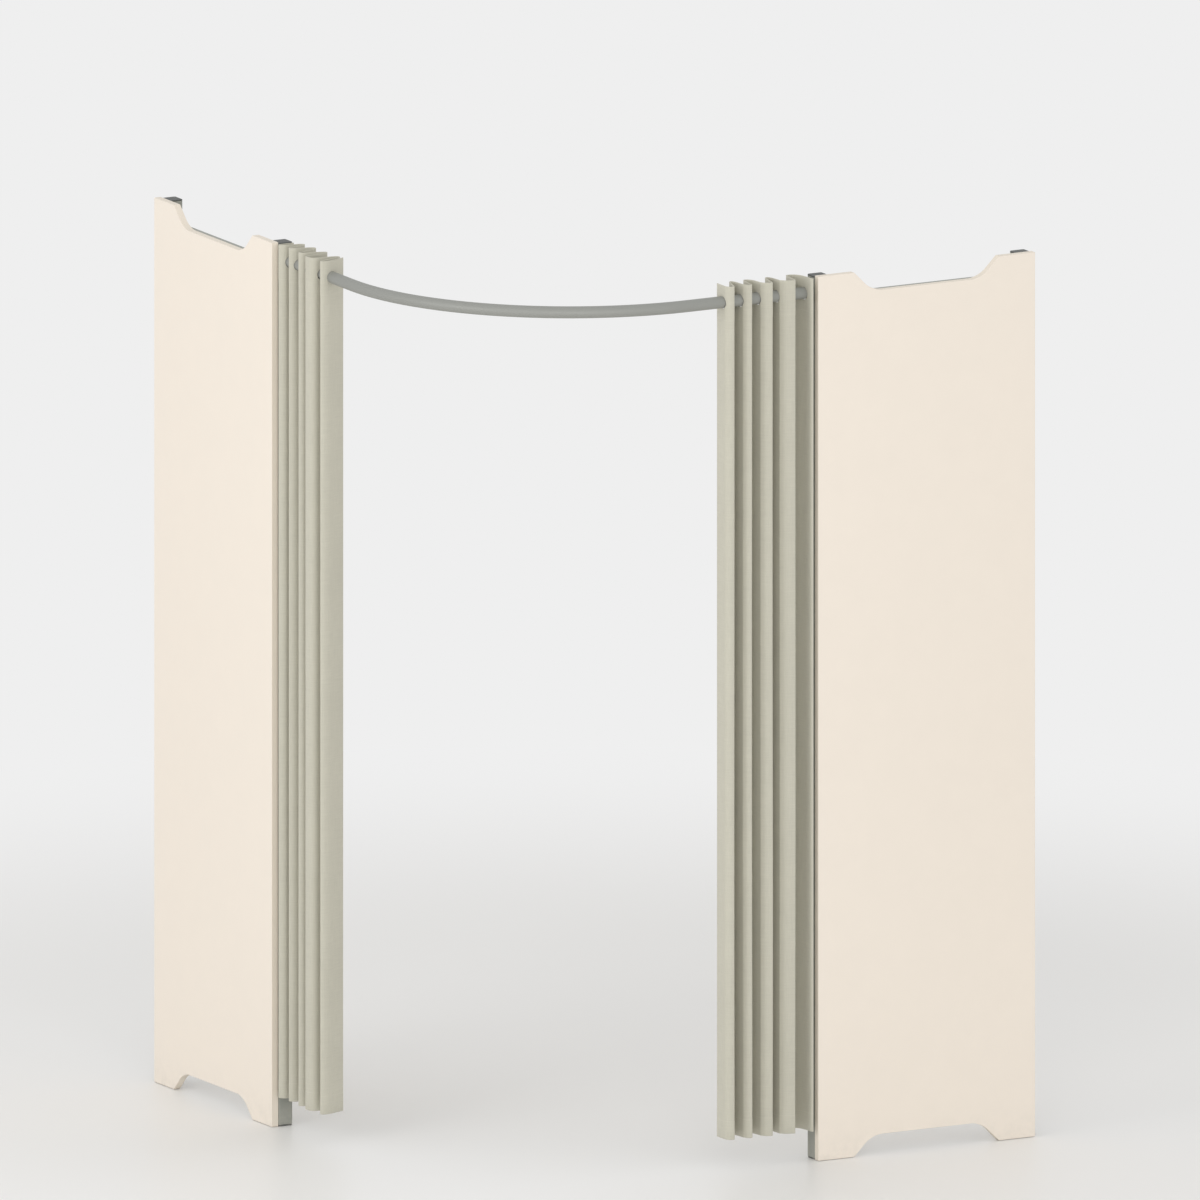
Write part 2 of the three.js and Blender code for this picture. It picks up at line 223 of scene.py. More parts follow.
def makeDust():
    group, given, result = newGroup(
        "floor dust",
        {"Place": "vector", "Color": "color", "Dust": "color", "Amount": "value", "Reach": "value"},
        {"Color": "color", "Mask": "value"},
    )
    height = addNode(group, "ShaderNodeSeparateXYZ", {"Vector": given["Place"]}).outputs["Z"]
    high = calc(group, "DIVIDE", height, given["Reach"], clamp=True)
    low = calc(group, "SUBTRACT", 1.0, high, clamp=True)
    patches = addNode(group, "ShaderNodeTexNoise", {
        "Vector": given["Place"], "Scale": 35.0, "Detail": 5.0, "Roughness": 0.65,
    })
    patchy = ramp(group, patches.outputs["Fac"], dustBlend["patchLow"], dustBlend["patchHigh"])
    falling = calc(group, "POWER", low, dustBlend["falloff"])
    both = calc(group, "MULTIPLY", falling, patchy)
    mask = calc(group, "MULTIPLY", both, given["Amount"], clamp=True)
    group.links.new(mixColor(group, mask, given["Color"], given["Dust"]), result["Color"])
    group.links.new(mask, result["Mask"])
    return group


grainGroup = makeGrain()
streakGroup = makeStreaks()
dustGroup = makeDust()


# Materials

finishes = {
    "laminate": {
        "color": paint(240, 230, 217), "grain": 0.7 * mm, "contrast": 0.05, "roughness": 0.5,
        "bump": 0.08, "metal": 0.0, "dustReach": 0.12, "dustAmount": 0.35,
    },
    # The edge band is painted a little darker than the laminate: painted shade that stands in for the shade
    # the curtains cast on the board's edges
    "edgingWithPaintedShade": {
        "color": paint(231, 221, 206), "grain": 0.4 * mm, "contrast": 0.07, "roughness": 0.46,
        "bump": 0.12, "metal": 0.0, "dustReach": 0.12, "dustAmount": 0.35,
    },
    "coating": {
        "color": paint(150, 152, 144), "grain": 0.5 * mm, "contrast": 0.12, "roughness": 0.42,
        "bump": 0.22, "metal": 0.25, "dustReach": 0.1, "dustAmount": 0.5,
    },
    "plastic": {
        "color": paint(82, 84, 82), "grain": 0.35 * mm, "contrast": 0.16, "roughness": 0.52,
        "bump": 0.3, "metal": 0.0, "dustReach": 0.02, "dustAmount": 0.6,
    },
}
dust = {"color": paint(205, 200, 190), "roughness": 0.4}


def newMaterial(name):
    made = bpy.data.materials.new(name)
    made.use_nodes = True
    tree = made.node_tree
    return made, tree, tree.nodes["Principled BSDF"]


def objectPlace(tree):
    return addNode(tree, "ShaderNodeTexCoord").outputs["Object"]


def addBump(tree, shader, height, strength, distance):
    bump = addNode(tree, "ShaderNodeBump", {"Height": height, "Strength": strength, "Distance": distance})
    tree.links.new(bump.outputs["Normal"], shader.inputs["Normal"])


def grainedMaterial(name, look):
    made, tree, shader = newMaterial(name)
    place = objectPlace(tree)
    grain = addNode(tree, "ShaderNodeGroup", {
        "Place": place,
        "Color": look["color"],
        "Size": look["grain"],
        "Contrast": look["contrast"],
        "Roughness": look["roughness"],
    }, node_tree=grainGroup)
    dusty = addNode(tree, "ShaderNodeGroup", {
        "Place": place,
        "Color": grain.outputs["Color"],
        "Dust": dust["color"],
        "Amount": look["dustAmount"],
        "Reach": look["dustReach"],
    }, node_tree=dustGroup)
    tree.links.new(dusty.outputs["Color"], shader.inputs["Base Color"])
    dull = scaled(tree, dusty.outputs["Mask"], dust["roughness"])
    rough = calc(tree, "ADD", grain.outputs["Roughness"], dull, clamp=True)
    tree.links.new(rough, shader.inputs["Roughness"])
    addBump(tree, shader, grain.outputs["Height"], look["bump"], look["grain"])
    shader.inputs["Metallic"].default_value = look["metal"]
    return made


drawnMetal = {
    "rail": {
        "color": paint(149, 150, 145), "contrast": 0.14, "roughness": 0.5, "metal": 0.15,
        "stretch": (1, 1, 1), "bump": 0.1, "bumpDepth": 0.2 * mm,
    },
    "zinc": {
        "color": paint(186, 188, 190), "contrast": 0.3, "roughness": 0.3, "metal": 1.0,
        "stretch": (0.2, 1, 1), "bump": 0.1, "bumpDepth": 0.2 * mm,
    },
}


def drawnMaterial(name, look):
    made, tree, shader = newMaterial(name)
    mapping = addNode(tree, "ShaderNodeMapping", {"Vector": objectPlace(tree), "Scale": look["stretch"]})
    streaks = addNode(tree, "ShaderNodeGroup", {
        "Place": mapping.outputs["Vector"],
        "Color": look["color"],
        "Contrast": look["contrast"],
        "Roughness": look["roughness"],
    }, node_tree=streakGroup)
    tree.links.new(streaks.outputs["Color"], shader.inputs["Base Color"])
    tree.links.new(streaks.outputs["Roughness"], shader.inputs["Roughness"])
    addBump(tree, shader, streaks.outputs["Height"], look["bump"], look["bumpDepth"])
    shader.inputs["Metallic"].default_value = look["metal"]
    return made


laminate = grainedMaterial("cream laminate", finishes["laminate"])
edgingWithPaintedShade = grainedMaterial("edge band with painted shade", finishes["edgingWithPaintedShade"])
coating = grainedMaterial("grey powder coat", finishes["coating"])
plastic = grainedMaterial("dark grey plastic", finishes["plastic"])
railFinish = drawnMaterial("satin rail", drawnMetal["rail"])
zinc = drawnMaterial("zinc plate", drawnMetal["zinc"])

clothLook = {
    "color": paint(195, 192, 177),
    "thread": paint(208, 205, 191),
    "threadShare": 0.5,
    "pitch": 1.3 * mm,
    "stitch": 4.2 * mm,
    "stitchShare": 0.72,
    "seam": 0.7 * mm,
    "slubStretch": (1.0, 0.05, 1.0),
    "pickStretch": (0.06, 1.0, 1.0),
    "yarnTone": 0.16,
    "cloudTone": 0.1,
    "weaveTone": 0.035,
    "weaveDepth": 0.5,
    "yarnDepth": 0.5,
    "stitchDepth": 1.5,
    "bump": 0.35,
    "bumpDepth": 0.35 * mm,
    "roughness": 0.86,
    "weaveRoughness": 0.05,
    "sheen": 0.25,
    "sheenRoughness": 0.5,
    "specular": 0.25,
}


def clothMaterial(hem, heading, low, high):
    look = clothLook
    made, tree, shader = newMaterial("curtain cloth")
    place = addNode(tree, "ShaderNodeUVMap", uv_map="cloth").outputs["UV"]
    parts = addNode(tree, "ShaderNodeSeparateXYZ", {"Vector": place})
    along, up = parts.outputs["X"], parts.outputs["Y"]
    turn = 2 * math.pi / look["pitch"]
    warp = calc(tree, "SINE", scaled(tree, along, turn))
    weft = calc(tree, "SINE", scaled(tree, up, turn))
    weave = calc(tree, "MULTIPLY", warp, weft)
    stretched = addNode(tree, "ShaderNodeMapping", {"Vector": place, "Scale": look["slubStretch"]})
    slubs = addNode(tree, "ShaderNodeTexNoise", {
        "Vector": stretched.outputs["Vector"], "Scale": 420.0, "Detail": 3.0, "Roughness": 0.6,
    })
    crossed = addNode(tree, "ShaderNodeMapping", {"Vector": place, "Scale": look["pickStretch"]})
    picks = addNode(tree, "ShaderNodeTexNoise", {
        "Vector": crossed.outputs["Vector"], "Scale": 380.0, "Detail": 3.0, "Roughness": 0.6,
    })
    clouds = addNode(tree, "ShaderNodeTexNoise", {
        "Vector": place, "Scale": 6.0, "Detail": 5.0, "Roughness": 0.5,
    })
    yarn = calc(tree, "ADD", slubs.outputs["Fac"], picks.outputs["Fac"])
    yarnTone = scaled(tree, calc(tree, "SUBTRACT", yarn, 2 * noiseMiddle), look["yarnTone"])
    cloudTone = scaled(tree, calc(tree, "SUBTRACT", clouds.outputs["Fac"], noiseMiddle), look["cloudTone"])
    level = calc(tree, "ADD", 1.0, calc(tree, "ADD", yarnTone, cloudTone))
    level = calc(tree, "ADD", level, scaled(tree, weave, look["weaveTone"]))
    tone = toneBy(tree, look["color"], level)

    # Two seams, one above the hem and one below the heading, each a row of stitches
    seams = None
    for line in (low + hem, high - heading):
        distance = calc(tree, "ABSOLUTE", calc(tree, "SUBTRACT", up, line))
        row = calc(tree, "LESS_THAN", distance, look["seam"])
        seams = row if seams is None else calc(tree, "MAXIMUM", seams, row)
    step = calc(tree, "FRACT", calc(tree, "DIVIDE", along, look["stitch"]))
    stitches = calc(tree, "MULTIPLY", seams, calc(tree, "LESS_THAN", step, look["stitchShare"]))
    threaded = mixColor(tree, scaled(tree, stitches, look["threadShare"]), tone, look["thread"])
    tree.links.new(threaded, shader.inputs["Base Color"])
    height = calc(tree, "ADD", scaled(tree, weave, look["weaveDepth"]), scaled(tree, yarn, look["yarnDepth"]))
    height = calc(tree, "ADD", height, scaled(tree, stitches, look["stitchDepth"]))
    height = calc(tree, "SUBTRACT", height, seams)
    addBump(tree, shader, height, look["bump"], look["bumpDepth"])
    rough = calc(tree, "ADD", look["roughness"], scaled(tree, weave, look["weaveRoughness"]), clamp=True)
    tree.links.new(rough, shader.inputs["Roughness"])
    shader.inputs["Sheen Weight"].default_value = look["sheen"]
    shader.inputs["Sheen Roughness"].default_value = look["sheenRoughness"]
    shader.inputs["Specular IOR Level"].default_value = look["specular"]
    return made


print("materials ready")


# Modelling helpers

near = 0.01 * mm
facing = 0.9
holeSides = 24
smoothAngle = 40


def objectMode():
    if bpy.context.object and bpy.context.object.mode != "OBJECT":
        bpy.ops.object.mode_set(mode="OBJECT")


def deselect():
    objectMode()
    bpy.ops.object.select_all(action="DESELECT")


def choose(piece):
    deselect()
    piece.select_set(True)
    bpy.context.view_layer.objects.active = piece


def settlePlace(piece):
    choose(piece)
    bpy.ops.object.transform_apply(location=True, rotation=True, scale=True)
    return piece


def addBlock(low, high):
    deselect()
    low, high = Vector(low), Vector(high)
    bpy.ops.mesh.primitive_cube_add(size=1, location=(low + high) / 2)
    block = bpy.context.object
    block.scale = high - low
    return settlePlace(block)


def addRound(start, end, radius, sides):
    deselect()
    start, end = Vector(start), Vector(end)
    line = end - start
    bpy.ops.mesh.primitive_cylinder_add(
        vertices=sides, radius=radius, depth=line.length, location=(start + end) / 2,
    )
    bar = bpy.context.object
    bar.rotation_euler = line.to_track_quat("Z", "Y").to_euler()
    return settlePlace(bar)


def edit(piece, kind):
    choose(piece)
    bpy.ops.object.mode_set(mode="EDIT")
    bpy.ops.mesh.select_mode(type=kind)
    bpy.ops.mesh.select_all(action="DESELECT")


def pick(piece, test):
    # Picks what passes the test in the current select mode. The test is given a vertex's place,
    # the places of an edge's two ends, or a face's middle and normal.
    mesh = bmesh.from_edit_mesh(piece.data)
    bpy.ops.mesh.select_all(action="DESELECT")
    mode = bpy.context.tool_settings.mesh_select_mode
    if mode[0]:
        for vertex in mesh.verts:
            vertex.select_set(test(vertex.co))
    elif mode[1]:
        for edge in mesh.edges:
            edge.select_set(test(edge.verts[0].co, edge.verts[1].co))
    else:
        for face in mesh.faces:
            face.select_set(test(face.calc_center_median(), face.normal))
    mesh.select_flush_mode()
    bmesh.update_edit_mesh(piece.data)


def applyModifier(piece, kind, **settings):
    choose(piece)
    modifier = piece.modifiers.new(kind.lower(), kind)
    for name, value in settings.items():
        setattr(modifier, name, value)
    bpy.ops.object.modifier_apply(modifier=modifier.name)


def softenEdges(piece, shape):
    applyModifier(
        piece, "BEVEL", width=shape["rim"], segments=shape["rimSteps"],
        limit_method="ANGLE", angle_limit=math.radians(shape["rimAngle"]),
    )


def polish(piece, angle=smoothAngle):
    choose(piece)
    bpy.ops.object.shade_smooth_by_angle(angle=math.radians(angle))
    applyModifier(piece, "WEIGHTED_NORMAL", keep_sharp=True)


def cutRounds(piece, rounds):
    cutters = [addRound(start, end, radius, holeSides) for start, end, radius in rounds]
    choose(cutters[0])
    for cutter in cutters:
        cutter.select_set(True)
    if len(cutters) > 1:
        bpy.ops.object.join()
    cutAway(piece, bpy.context.object)


def cutAway(piece, cutter):
    applyModifier(piece, "BOOLEAN", operation="DIFFERENCE", solver="EXACT", object=cutter)
    bpy.data.objects.remove(cutter)


def upright(first, second):
    return abs(first.x - second.x) < near and abs(first.y - second.y) < near


def twin(piece):
    other = piece.copy()
    other.data = piece.data.copy()
    other.data.transform(swapSides)
    other.data.flip_normals()
    bpy.context.scene.collection.objects.link(other)
    return other


def moved(piece, offset):
    other = piece.copy()
    other.data = piece.data.copy()
    other.data.transform(Matrix.Translation(offset))
    bpy.context.scene.collection.objects.link(other)
    return other


def uniteParts(parts):
    first = parts[0]
    for part in parts[1:]:
        applyModifier(first, "BOOLEAN", operation="UNION", solver="EXACT", object=part)
        bpy.data.objects.remove(part)
    return first


def dress(piece, *materials):
    piece.data.materials.clear()
    for material in materials:
        piece.data.materials.append(material)


def fit(piece, part, side, angle):
    piece.name = f"{part}_{side}"
    polish(piece, angle)
    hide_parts(f"{side}_{part}")
    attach(piece, "frame")


def fitPair(piece, part, angle=smoothAngle):
    other = twin(piece)
    fit(piece, part, "left", angle)
    fit(other, part, "right", angle)


# Boards: a laminated sheet with a cut-out in its top and bottom edge

boardShape = {
    "land": 100 * mm,
    "depth": 50 * mm,
    "fillet": 66 * mm,
    "filletSteps": 14,
    "rim": 1.0 * mm,
    "rimSteps": 3,
    "rimAngle": 30,
    "flatAngle": 1,
    "smoothAngle": 25,
    "pilot": 2.9 * mm,
    "pilotDepth": 12 * mm,
}
screwNodes = [f"board_screw_{i}" for i in range(1, 7)]


def makeBoard():
    low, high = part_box("left_board")
    board = addBlock(low, high)
    land, depth = boardShape["land"], boardShape["depth"]
    inner = (low.y + land + depth, high.y - land - depth)
    edit(board, "VERT")
    for place in (low.y + land, *inner, high.y - land):
        bpy.ops.mesh.select_all(action="SELECT")
        bpy.ops.mesh.bisect(plane_co=(0, place, 0), plane_no=(0, 1, 0))
    for level, drop in ((high.z, -depth), (low.z, depth)):
        pick(board, lambda co: abs(co.z - level) < near and min(abs(co.y - place) for place in inner) < near)
        bpy.ops.transform.translate(value=(0, 0, drop))
    bpy.ops.mesh.select_all(action="SELECT")
    bpy.ops.mesh.dissolve_limited(angle_limit=math.radians(boardShape["flatAngle"]))
    bpy.ops.mesh.select_mode(type="EDGE")
    pick(board, lambda a, b: (
        abs(a.y - b.y) < near and abs(a.z - b.z) < near and min(abs(a.y - place) for place in inner) < near
    ))
    # The edge turns by 45 degrees there, so a round of this radius starts this far from the corner
    reach = boardShape["fillet"] * math.tan(math.pi / 8)
    bpy.ops.mesh.bevel(offset=reach, segments=boardShape["filletSteps"], affect="EDGES")
    objectMode()
    softenEdges(board, boardShape)
    holes = []
    for node in screwNodes:
        start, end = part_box(f"left_{node}")
        middle = (start + end) / 2
        holes.append((
            (high.x - boardShape["pilotDepth"], middle.y, middle.z),
            (high.x + boardShape["rim"], middle.y, middle.z),
            boardShape["pilot"],
        ))
    cutRounds(board, holes)
    # Faces that don't face along x take the edge band, whose darker colour is painted shade
    dress(board, laminate, edgingWithPaintedShade)
    for face in board.data.polygons:
        face.material_index = 0 if abs(face.normal.x) > facing else 1
    return board


fitPair(makeBoard(), "board", boardShape["smoothAngle"])
print("boards made")


# Posts, with a lid above and a foot below

postShape = {"corner": 5 * mm, "wall": 2 * mm, "steps": 8, "hole": 2.9 * mm}
lidShape = {"flange": 3 * mm, "plug": 35.2 * mm, "rim": 1.1 * mm, "rimSteps": 4, "rimAngle": 60}
footShape = {
    "flange": 4 * mm, "plug": 35.2 * mm, "corner": 4 * mm, "rim": 0.9 * mm, "rimSteps": 3, "rimAngle": 60,
}


def roundUprights(piece, radius):
    edit(piece, "EDGE")
    pick(piece, upright)
    bpy.ops.mesh.bevel(offset=radius, segments=postShape["steps"], affect="EDGES")
    objectMode()


def makePost(node):
    low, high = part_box(node)
    post = addBlock(low, high)
    roundUprights(post, postShape["corner"])
    edit(post, "FACE")
    pick(post, lambda centre, normal: abs(normal.z) > facing)
    bpy.ops.mesh.delete(type="FACE")
    objectMode()
    applyModifier(post, "SOLIDIFY", thickness=postShape["wall"], offset=-1, use_even_offset=True)
    middle = (low + high) / 2
    holes = []
    for name in screwNodes:
        start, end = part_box(f"left_{name}")
        if start.y > low.y and end.y < high.y:
            height = (start.z + end.z) / 2
            holes.append((
                (low.x - postShape["wall"], middle.y, height),
                (high.x + postShape["wall"], middle.y, height),
                postShape["hole"],
            ))
    cutRounds(post, holes)
    dress(post, coating)
    return post


def makeLid(node):
    low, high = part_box(node)
    lid = addBlock((low.x, low.y, high.z - lidShape["flange"]), high)
    roundUprights(lid, postShape["corner"])
    edit(lid, "FACE")
    pick(lid, lambda centre, normal: normal.z < -facing)
    bpy.ops.mesh.inset(thickness=(high.x - low.x - lidShape["plug"]) / 2)
    bpy.ops.mesh.extrude_region_move(
        TRANSFORM_OT_translate={"value": (0, 0, low.z - high.z + lidShape["flange"])},
    )
    objectMode()
    softenEdges(lid, lidShape)
    dress(lid, plastic)
    return lid


def makeFoot(node):
    low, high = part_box(node)
    foot = addBlock(low, (high.x, high.y, footShape["flange"]))
    roundUprights(foot, footShape["corner"])
    edit(foot, "FACE")
    pick(foot, lambda centre, normal: normal.z > facing)
    bpy.ops.mesh.inset(thickness=(high.x - low.x - footShape["plug"]) / 2)
    bpy.ops.mesh.extrude_region_move(TRANSFORM_OT_translate={"value": (0, 0, high.z - footShape["flange"])})
    objectMode()
    softenEdges(foot, footShape)
    dress(foot, plastic)
    return foot


for place in ("front", "wall"):
    fitPair(makePost(f"left_{place}_post"), f"{place}_post")
    fitPair(makeLid(f"left_{place}_post_cap"), f"{place}_post_cap")
    fitPair(makeFoot(f"left_{place}_post_glide"), f"{place}_post_glide")
print("posts made")


# Bars between the posts

barShape = {"rim": 0.9 * mm, "rimSteps": 3, "rimAngle": 30}


def makeBar(node):
    low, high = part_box(node)
    bar = addBlock(low, high)
    softenEdges(bar, barShape)
    dress(bar, coating)
    return bar


for place in ("top", "bottom"):
    fitPair(makeBar(f"left_{place}_bar"), f"{place}_bar")
print("bars made")


# Brackets: a bent plate with two holes in each leg

bracketShape = {
    "wall": 3 * mm,
    "bend": 4.5 * mm,
    "bendSteps": 8,
    "corner": 4 * mm,
    "cornerSteps": 6,
    "hole": 3.1 * mm,
    "spread": 15 * mm,
    "rim": 0.4 * mm,
    "rimSteps": 2,
    "rimAngle": 50,
}


def makeBracket(node):
    # A flat leg on the low x side, bent round at the high y side
    low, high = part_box(node)
    wall = bracketShape["wall"]
    deselect()
    bpy.ops.mesh.primitive_plane_add(
        size=1, location=(low.x, (low.y + high.y) / 2, (low.z + high.z) / 2), rotation=(0, math.pi / 2, 0),
    )
    plate = bpy.context.object
    plate.scale = (high.z - low.z, high.y - low.y, 1)
    settlePlace(plate)
    edit(plate, "EDGE")
    pick(plate, lambda a, b: min(a.y, b.y) > high.y - near)
    bpy.ops.mesh.extrude_region_move(TRANSFORM_OT_translate={"value": (high.x - low.x, 0, 0)})
    bpy.ops.mesh.select_all(action="SELECT")
    bpy.ops.mesh.normals_make_consistent(inside=False)
    pick(plate, lambda a, b: min(a.y, b.y) > high.y - near and max(a.x, b.x) < low.x + near)
    bpy.ops.mesh.bevel(offset=bracketShape["bend"], segments=bracketShape["bendSteps"], affect="EDGES")
    bpy.ops.mesh.select_mode(type="VERT")
    pick(plate, lambda co: co.y < low.y + near or co.x > high.x - near)
    bpy.ops.mesh.bevel(offset=bracketShape["corner"], segments=bracketShape["cornerSteps"], affect="VERTICES")
    objectMode()
    applyModifier(plate, "SOLIDIFY", thickness=wall, offset=-1, use_even_offset=True)
    middle = (low.z + high.z) / 2
    along = (high.x - low.x + wall) / 2
    holes = []
    for height in (middle - bracketShape["spread"], middle + bracketShape["spread"]):
        holes.append((
            (low.x - wall, high.y - along, height),
            (low.x + 2 * wall, high.y - along, height),
            bracketShape["hole"],
        ))
        holes.append((
            (low.x + along, high.y - 2 * wall, height),
            (low.x + along, high.y + wall, height),
            bracketShape["hole"],
        ))
    cutRounds(plate, holes)
    softenEdges(plate, bracketShape)
    dress(plate, coating)
    return plate


for place in ("lower", "upper"):
    fitPair(makeBracket(f"left_{place}_wall_bracket"), f"{place}_wall_bracket")
print("brackets made")


# Screws: a pan head with a cross recess on a plain shank with a short point

screwShape = {
    "sides": 32,
    "shank": 2.4 * mm,
    "rise": 2.6 * mm,
    "dome": 1.5 * mm,
    "domeSteps": 6,
    "pointShare": 0.3,
    "slotLong": 5.2 * mm,
    "slotWide": 1.1 * mm,
    "slotDeep": 1.6 * mm,
}
socketScrewShape = {"shank": 3 * mm, "rise": 2.4 * mm}


def makeScrew(head, under, tip, centre, headRadius, shankRadius, axis):
    # The axis is the unit vector from the tip to the head. Head, under and tip are places on it.
    def at(place):
        return Vector(centre) + axis * place

    screw = addRound(at(under), at(head), headRadius, screwShape["sides"])
    edit(screw, "FACE")
    pick(screw, lambda middle, normal: normal.dot(axis) < -facing)
    point = 2 * shankRadius
    bpy.ops.mesh.inset(thickness=headRadius - shankRadius)
    bpy.ops.mesh.extrude_region_move(TRANSFORM_OT_translate={"value": axis * (tip - under + point)})
    bpy.ops.mesh.extrude_region_move(TRANSFORM_OT_translate={"value": axis * -point})
    bpy.ops.transform.resize(value=[screwShape["pointShare"]] * 3, center_override=at(tip))
    bpy.ops.mesh.select_mode(type="EDGE")
    pick(screw, lambda a, b: min((a - at(head)).dot(axis), (b - at(head)).dot(axis)) > -near)
    bpy.ops.mesh.bevel(offset=screwShape["dome"], segments=screwShape["domeSteps"], affect="EDGES")
    objectMode()
    up = Vector((0, 0, 1))
    blades = []
    for direction in (axis.cross(up), up):
        sideways = axis.cross(direction)
        reach = direction * screwShape["slotLong"] / 2 + sideways * screwShape["slotWide"] / 2
        corners = (at(head - screwShape["slotDeep"]) - reach, at(head + screwShape["slotDeep"]) + reach)
        blades.append(addBlock(
            [min(a, b) for a, b in zip(*corners)], [max(a, b) for a, b in zip(*corners)],
        ))
    cutAway(screw, uniteParts(blades))
    dress(screw, zinc)
    return screw


def screwSet(names):
    low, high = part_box(f"left_{names[0]}")
    centre = (0, (low.y + high.y) / 2, (low.z + high.z) / 2)
    first = makeScrew(high.x, high.x - screwShape["rise"], low.x, centre, (high.y - low.y) / 2,
                      screwShape["shank"], Vector((1, 0, 0)))
    for name in names[1:]:
        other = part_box(f"left_{name}")
        offset = (other[0] + other[1] - low - high) / 2
        fitPair(moved(first, offset), name)
    fitPair(first, names[0])


def makeSocketScrew():
    low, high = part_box("left_socket_screw")
    centre = ((low.x + high.x) / 2, 0, (low.z + high.z) / 2)
    return makeScrew(-low.y, -low.y - socketScrewShape["rise"], -high.y, centre, (high.x - low.x) / 2,
                     socketScrewShape["shank"], Vector((0, -1, 0)))


screwSet(screwNodes)
screwSet([f"bracket_screw_{i}" for i in range(1, 5)])
fitPair(makeSocketScrew(), "socket_screw")
print("screws made")


# Rail and its cups

railShape = {"bend": 600 * mm, "wall": 2 * mm, "sides": 48, "steps": 72}
cupShape = {
    "sides": 64, "floor": 3 * mm, "bore": 15.4 * mm, "rim": 0.8 * mm, "rimSteps": 3, "rimAngle": 50,
}
grubShape = {
    "sides": 32, "clear": 2.3 * mm, "key": 1.1 * mm, "keySides": 6, "keyDeep": 1.6 * mm,
    "rim": 0.2 * mm, "rimSteps": 2, "rimAngle": 50,
}


def makeRail():
    low, high = railBox
    centre = low.x + railRadius + railShape["bend"]
    deselect()
    bpy.ops.mesh.primitive_circle_add(
        vertices=railShape["sides"], radius=railRadius, fill_type="NOTHING",
        location=(postMid, high.y, railHeight), rotation=(math.pi / 2, 0, 0),
    )
    rail = settlePlace(bpy.context.object)
    edit(rail, "VERT")
    bpy.ops.mesh.select_all(action="SELECT")
    bpy.ops.mesh.extrude_region_move(TRANSFORM_OT_translate={"value": (0, centre - high.y, 0)})
    bpy.ops.mesh.spin(
        steps=railShape["steps"], angle=-math.pi / 2, center=(centre, centre, railHeight), axis=(0, 0, 1),
    )
    pick(rail, lambda co: co.x > centre - near)
    bpy.ops.mesh.extrude_region_move(TRANSFORM_OT_translate={"value": (high.x - centre, 0, 0)})
    bpy.ops.mesh.select_all(action="SELECT")
    bpy.ops.mesh.remove_doubles(threshold=near / 10)
    bpy.ops.mesh.normals_make_consistent(inside=False)
    objectMode()
    applyModifier(rail, "SOLIDIFY", thickness=railShape["wall"], offset=-1, use_even_offset=True)
    dress(rail, railFinish)
    rail.name = "rail_tube"
    polish(rail)
    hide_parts("curtain_rail")
    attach(rail, "frame")


def makeCup():
    low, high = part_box("left_rail_socket")
    radius, base = (high.x - low.x) / 2, cupShape["floor"]
    cup = addRound((postMid, high.y, railHeight), (postMid, low.y, railHeight), radius, cupShape["sides"])
    edit(cup, "FACE")
    pick(cup, lambda middle, normal: normal.y < -facing)
    bpy.ops.mesh.inset(thickness=radius - cupShape["bore"])
    bpy.ops.mesh.extrude_region_move(TRANSFORM_OT_translate={"value": (0, high.y - low.y - base, 0)})
    objectMode()
    softenEdges(cup, cupShape)
    grubLow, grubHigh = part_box("left_grub_screw")
    grubY = (grubLow.y + grubHigh.y) / 2
    cutRounds(cup, [
        (
            (postMid, high.y - 2 * base, railHeight),
            (postMid, high.y + base, railHeight),
            socketScrewShape["shank"],
        ),
        (
            (postMid, grubY, grubLow.z - base),
            (postMid, grubY, grubHigh.z + base),
            grubShape["clear"],
        ),
    ])
    dress(cup, railFinish)
    return cup


def makeGrub():
    low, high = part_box("left_grub_screw")
    middle = (low + high) / 2
    top, bottom = (middle.x, middle.y, high.z), (middle.x, middle.y, low.z)
    grub = addRound(top, bottom, (high.x - low.x) / 2, grubShape["sides"])
    softenEdges(grub, grubShape)
    reach = Vector((0, 0, grubShape["keyDeep"]))
    key = addRound(Vector(bottom) - reach, Vector(bottom) + reach, grubShape["key"], grubShape["keySides"])
    cutAway(grub, key)
    dress(grub, zinc)
    return grub


makeRail()
fitPair(makeCup(), "rail_socket")
fitPair(makeGrub(), "grub_screw")
print("rail made")


# Curtains. The line of the cloth is seen from above, as s along the rail and n across it,
# and each fold is a piece of its own, cut where the cloth turns on the room side.

cloth = {
    "low": 75 * mm,
    "high": 2197 * mm,
    "hem": 45 * mm,
    "heading": 85 * mm,
    "thickness": 1.7 * mm,
    "hemThickness": 2.3 * mm,
    "round": 0.9 * mm,
    "roundStep": 0.3,
    "rimShare": 0.35,
    "columns": 16,
    "rowStep": 38 * mm,
    "holeRowStep": 6 * mm,
    "smoothAngle": 50,
    "turnAt": -20,
    "probe": 0.001,
}
sway = {
    "reach": 1.2 * mm, "across": 0.4, "byHeight": 3.1, "byWidth": 9.0, "swellFrom": 0.15, "swellSpan": 0.7,
}
eyelet = {"radius": 15.5 * mm, "sides": 48, "play": 0.2 * mm, "slack": 1.5 * mm, "turningFolds": (2, 3, 4)}
